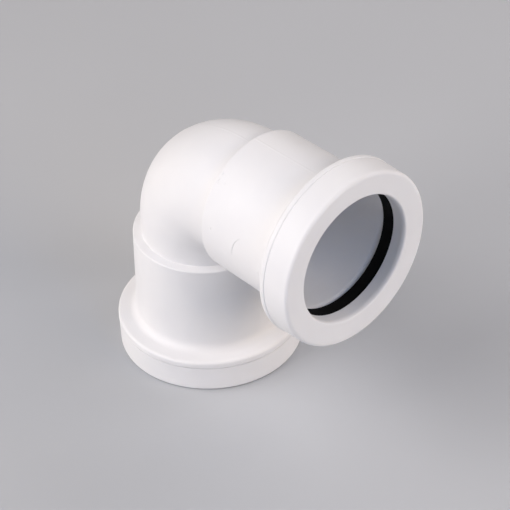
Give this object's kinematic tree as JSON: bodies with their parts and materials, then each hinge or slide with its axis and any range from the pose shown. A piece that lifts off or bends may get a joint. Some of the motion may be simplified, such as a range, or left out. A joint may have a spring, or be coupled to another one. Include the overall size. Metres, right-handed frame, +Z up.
{
  "type": "push-fit knuckle bend",
  "caption": "Tight right-angle waste pipe bend in white plastic, with a flanged push-fit socket at each end, ring caps and rubber lip seals.",
  "frame": {"origin": "centre of the base socket's open face, on the plane that the bend stands on", "axes": "+Z up along the base socket's axis, +X along the arm socket's axis towards its mouth, +Y across the bend's mirror plane"},
  "size_m": [0.0951, 0.0582, 0.0951],
  "materials": {
    "white_plastic": "satin moulded white polypropylene",
    "black_rubber": "matte black"
  },
  "bodies": {
    "root": {"elbow_body": "white_plastic", "base_retaining_cap": "white_plastic", "arm_retaining_cap": "white_plastic", "base_seal_ring": "black_rubber", "arm_seal_ring": "black_rubber"}
  },
  "joints": []
}
